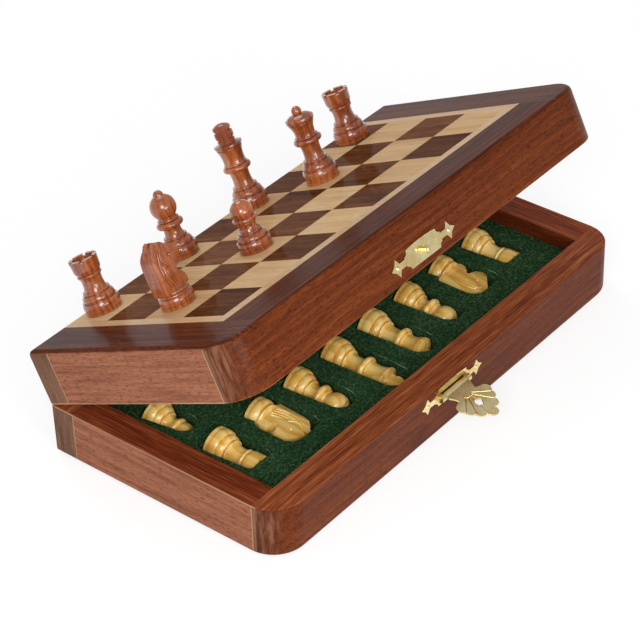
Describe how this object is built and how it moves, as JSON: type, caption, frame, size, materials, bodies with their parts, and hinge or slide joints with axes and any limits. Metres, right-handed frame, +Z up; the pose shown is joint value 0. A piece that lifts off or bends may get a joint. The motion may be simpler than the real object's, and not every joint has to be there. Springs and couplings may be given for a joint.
{
  "type": "folding chess box",
  "caption": "Folding wooden chess box, lid ajar on two butt hinges, inlaid board outside, green pocketed lining inside, brass hasp, turned men lying in pockets and standing on the lid.",
  "frame": {"origin": "centre of the lower tray's underside, on the table", "axes": "+X along the hinge and the long side, +Y towards the hinge so that the hasp is on the -Y side, +Z up"},
  "size_m": [0.254, 0.1748, 0.1034],
  "materials": {
    "rail_wood": "satin lacquer",
    "panel_wood": "plain",
    "dark_veneer": "gloss lacquer",
    "pale_veneer": "gloss lacquer",
    "tin_steel": "satin",
    "pin_steel": "satin",
    "green_flock": "flocked",
    "brass": "pale satin",
    "dark_men": "polished",
    "cream_men": "satin polish"
  },
  "bodies": {
    "base": {"base_front_rail": "rail_wood", "base_back_rail": "rail_wood", "base_left_end": "rail_wood", "base_right_end": "rail_wood", "base_panel": "panel_wood", "base_steel_sheet": "tin_steel", "base_dark_squares": "dark_veneer", "base_light_squares": "pale_veneer", "base_stringing": "pale_veneer", "base_border_ends": "dark_veneer", "base_border_front": "dark_veneer", "base_lining": "green_flock", "base_hinge_leaf_left": "brass", "base_hinge_leaf_right": "brass", "hinge_pins": "pin_steel", "base_hinge_screws": "brass", "hasp_plate": "brass", "hasp_pin": "pin_steel", "hasp_nails": "brass", "cream_pawns": "cream_men"},
    "lid": {"lid_front_rail": "rail_wood", "lid_back_rail": "rail_wood", "lid_left_end": "rail_wood", "lid_right_end": "rail_wood", "lid_panel": "panel_wood", "lid_steel_sheet": "tin_steel", "lid_dark_squares": "dark_veneer", "lid_light_squares": "pale_veneer", "lid_stringing": "pale_veneer", "lid_border_ends": "dark_veneer", "lid_border_front": "dark_veneer", "lid_lining": "green_flock", "lid_hinge_leaf_left": "brass", "lid_hinge_leaf_right": "brass", "lid_hinge_screws": "brass", "catch_plate": "brass", "catch_knob": "brass", "catch_nails": "brass"},
    "hasp_leaf_body": {"hasp_leaf": "brass"},
    "dark_king": {"dark_king": "dark_men"},
    "dark_queen": {"dark_queen": "dark_men"},
    "dark_bishop": {"dark_bishop": "dark_men"},
    "dark_knight": {"dark_knight": "dark_men"},
    "dark_pawn": {"dark_pawn": "dark_men"},
    "dark_rook_near": {"dark_rook_near": "dark_men"},
    "dark_rook_far": {"dark_rook_far": "dark_men"},
    "cream_rook_near": {"cream_rook_near": "cream_men"},
    "cream_knight_near": {"cream_knight_near": "cream_men"},
    "cream_bishop_near": {"cream_bishop_near": "cream_men"},
    "cream_king": {"cream_king": "cream_men"},
    "cream_queen": {"cream_queen": "cream_men"},
    "cream_bishop_far": {"cream_bishop_far": "cream_men"},
    "cream_knight_far": {"cream_knight_far": "cream_men"},
    "cream_rook_far": {"cream_rook_far": "cream_men"}
  },
  "joints": [
    {"name": "lid_hinge", "type": "hinge", "parent": "base", "child": "lid", "pos_m": [0, 0.06365, 0.02615], "axis": [-1, 0, 0], "range_deg": [-25.33, 154.67]},
    {"name": "hasp_swing", "type": "hinge", "parent": "base", "child": "hasp_leaf_body", "pos_m": [-0.0075, -0.0656, 0.0204], "axis": [1, 0, 0], "range_deg": [-100, 45]},
    {"name": "dark_king_lift", "type": "slide", "parent": "lid", "child": "dark_king", "axis": [0, 0.4278, 0.9039], "range_m": [0, 0.03]},
    {"name": "dark_queen_lift", "type": "slide", "parent": "lid", "child": "dark_queen", "axis": [0, 0.4278, 0.9039], "range_m": [0, 0.03]},
    {"name": "dark_bishop_lift", "type": "slide", "parent": "lid", "child": "dark_bishop", "axis": [0, 0.4278, 0.9039], "range_m": [0, 0.03]},
    {"name": "dark_knight_lift", "type": "slide", "parent": "lid", "child": "dark_knight", "axis": [0, 0.4278, 0.9039], "range_m": [0, 0.03]},
    {"name": "dark_pawn_lift", "type": "slide", "parent": "lid", "child": "dark_pawn", "axis": [0, 0.4278, 0.9039], "range_m": [0, 0.03]},
    {"name": "dark_rook_near_lift", "type": "slide", "parent": "lid", "child": "dark_rook_near", "axis": [0, 0.4278, 0.9039], "range_m": [0, 0.03]},
    {"name": "dark_rook_far_lift", "type": "slide", "parent": "lid", "child": "dark_rook_far", "axis": [0, 0.4278, 0.9039], "range_m": [0, 0.03]},
    {"name": "cream_rook_near_lift", "type": "slide", "parent": "base", "child": "cream_rook_near", "axis": [0, 0, 1], "range_m": [0, 0.022]},
    {"name": "cream_knight_near_lift", "type": "slide", "parent": "base", "child": "cream_knight_near", "axis": [0, 0, 1], "range_m": [0, 0.022]},
    {"name": "cream_bishop_near_lift", "type": "slide", "parent": "base", "child": "cream_bishop_near", "axis": [0, 0, 1], "range_m": [0, 0.022]},
    {"name": "cream_king_lift", "type": "slide", "parent": "base", "child": "cream_king", "axis": [0, 0, 1], "range_m": [0, 0.022]},
    {"name": "cream_queen_lift", "type": "slide", "parent": "base", "child": "cream_queen", "axis": [0, 0, 1], "range_m": [0, 0.022]},
    {"name": "cream_bishop_far_lift", "type": "slide", "parent": "base", "child": "cream_bishop_far", "axis": [0, 0, 1], "range_m": [0, 0.022]},
    {"name": "cream_knight_far_lift", "type": "slide", "parent": "base", "child": "cream_knight_far", "axis": [0, 0, 1], "range_m": [0, 0.022]},
    {"name": "cream_rook_far_lift", "type": "slide", "parent": "base", "child": "cream_rook_far", "axis": [0, 0, 1], "range_m": [0, 0.022]}
  ]
}
